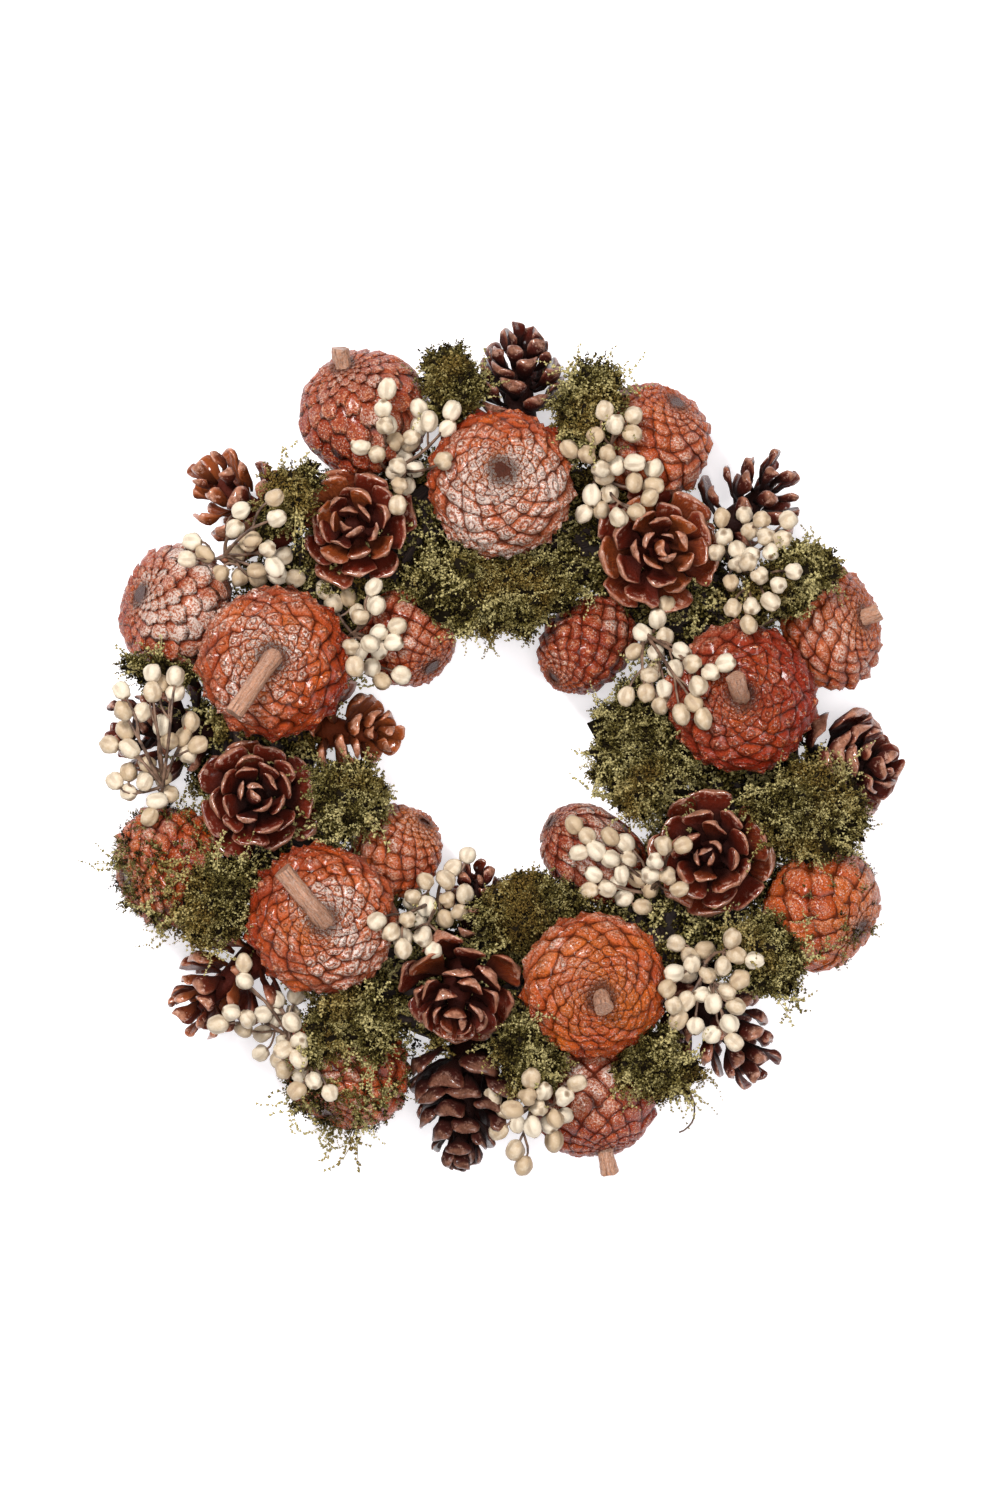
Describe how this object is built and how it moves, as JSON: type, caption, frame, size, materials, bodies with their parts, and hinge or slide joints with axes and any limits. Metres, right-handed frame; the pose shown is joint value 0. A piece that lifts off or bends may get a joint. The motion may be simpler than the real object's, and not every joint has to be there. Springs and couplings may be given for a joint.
{
  "type": "autumn wood wreath",
  "caption": "Round autumn wreath of rust and brown pine cones, moss and sprigs of ivory berries glued on a ring of wound vines, open in the middle.",
  "frame": {"origin": "middle of the footprint, on the surface that the ring's flat back rests on", "axes": "+Z out of the decorated front, +Y towards twelve o'clock, +X towards three o'clock"},
  "size_m": [0.3236, 0.3432, 0.0858],
  "materials": {
    "vine": "rough dark purple-brown bark",
    "rust_cone": "rust-orange stain under glossy, frosted varnish",
    "brown_cone": "dark chestnut under glossy varnish, paler scale rims",
    "moss": "dry, matte olive moss",
    "berry": "matte ivory wax coat"
  },
  "bodies": {
    "root": {"vine_ring": "vine", "brown_cone_front_1": "brown_cone", "brown_cone_front_2": "brown_cone", "brown_cone_front_3": "brown_cone", "brown_cone_front_4": "brown_cone", "brown_cone_front_5": "brown_cone", "rust_cone_front_1": "rust_cone", "rust_cone_front_2": "rust_cone", "rust_cone_front_3": "rust_cone", "rust_cone_front_4": "rust_cone", "rust_cone_front_5": "rust_cone", "brown_cone_outer_1": "brown_cone", "brown_cone_outer_2": "brown_cone", "brown_cone_outer_3": "brown_cone", "brown_cone_outer_4": "brown_cone", "brown_cone_outer_5": "brown_cone", "brown_cone_outer_6": "brown_cone", "brown_cone_outer_7": "brown_cone", "brown_cone_outer_8": "brown_cone", "rust_cone_outer_1": "rust_cone", "rust_cone_outer_2": "rust_cone", "rust_cone_outer_3": "rust_cone", "rust_cone_outer_4": "rust_cone", "rust_cone_outer_5": "rust_cone", "rust_cone_outer_6": "rust_cone", "rust_cone_outer_7": "rust_cone", "rust_cone_outer_8": "rust_cone", "brown_cone_inner_1": "brown_cone", "brown_cone_inner_2": "brown_cone", "rust_cone_inner_1": "rust_cone", "rust_cone_inner_2": "rust_cone", "rust_cone_inner_3": "rust_cone", "rust_cone_inner_4": "rust_cone", "moss_1": "moss", "moss_2": "moss", "moss_3": "moss", "moss_4": "moss", "moss_5": "moss", "moss_6": "moss", "moss_7": "moss", "moss_8": "moss", "moss_9": "moss", "moss_10": "moss", "moss_11": "moss", "moss_12": "moss", "moss_13": "moss", "moss_14": "moss", "moss_15": "moss", "berry_sprig_1": "berry", "berry_sprig_2": "berry", "berry_sprig_3": "berry", "berry_sprig_4": "berry", "berry_sprig_5": "berry", "berry_sprig_6": "berry", "berry_sprig_7": "berry", "berry_sprig_8": "berry", "berry_sprig_9": "berry", "berry_sprig_10": "berry", "berry_sprig_11": "berry", "berry_sprig_12": "berry"}
  },
  "joints": []
}
